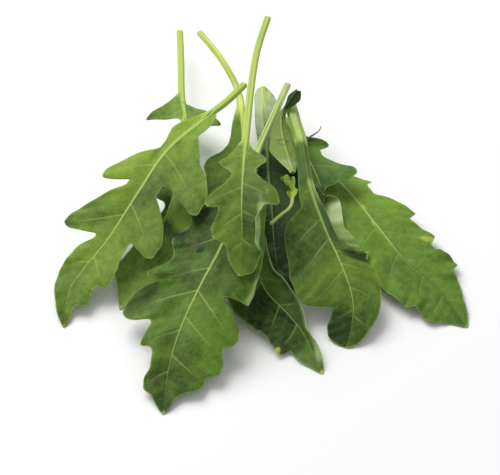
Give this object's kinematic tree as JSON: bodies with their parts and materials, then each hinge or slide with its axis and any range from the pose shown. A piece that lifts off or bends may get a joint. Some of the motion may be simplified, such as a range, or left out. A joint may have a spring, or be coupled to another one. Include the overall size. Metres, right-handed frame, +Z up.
{
  "type": "arugula bunch",
  "caption": "Bunch of fresh arugula leaves lying on a table, lobed blades fanned out to the front and their stalks together at the back.",
  "frame": {"origin": "middle of the bunch's bounding box, on the surface that it lies on", "axes": "+Y towards the cut ends of the stalks, +X to the right of someone who looks from the leaf tips, +Z up"},
  "size_m": [0.1224, 0.1644, 0.029],
  "materials": {
    "leaf_bright": "satin",
    "leaf_dark": "satin",
    "leaf_pale": "matte"
  },
  "bodies": {
    "root": {"leaf_outer_left": "leaf_bright", "leaf_under_left": "leaf_bright", "leaf_top_centre": "leaf_dark", "leaf_outer_right": "leaf_bright", "leaf_front_centre": "leaf_dark", "leaf_low_front": "leaf_dark", "leaf_broad_right": "leaf_dark", "leaf_small_right": "leaf_dark", "leaf_low_centre": "leaf_dark", "leaf_turned_over": "leaf_pale", "leaf_young": "leaf_pale"}
  },
  "joints": []
}
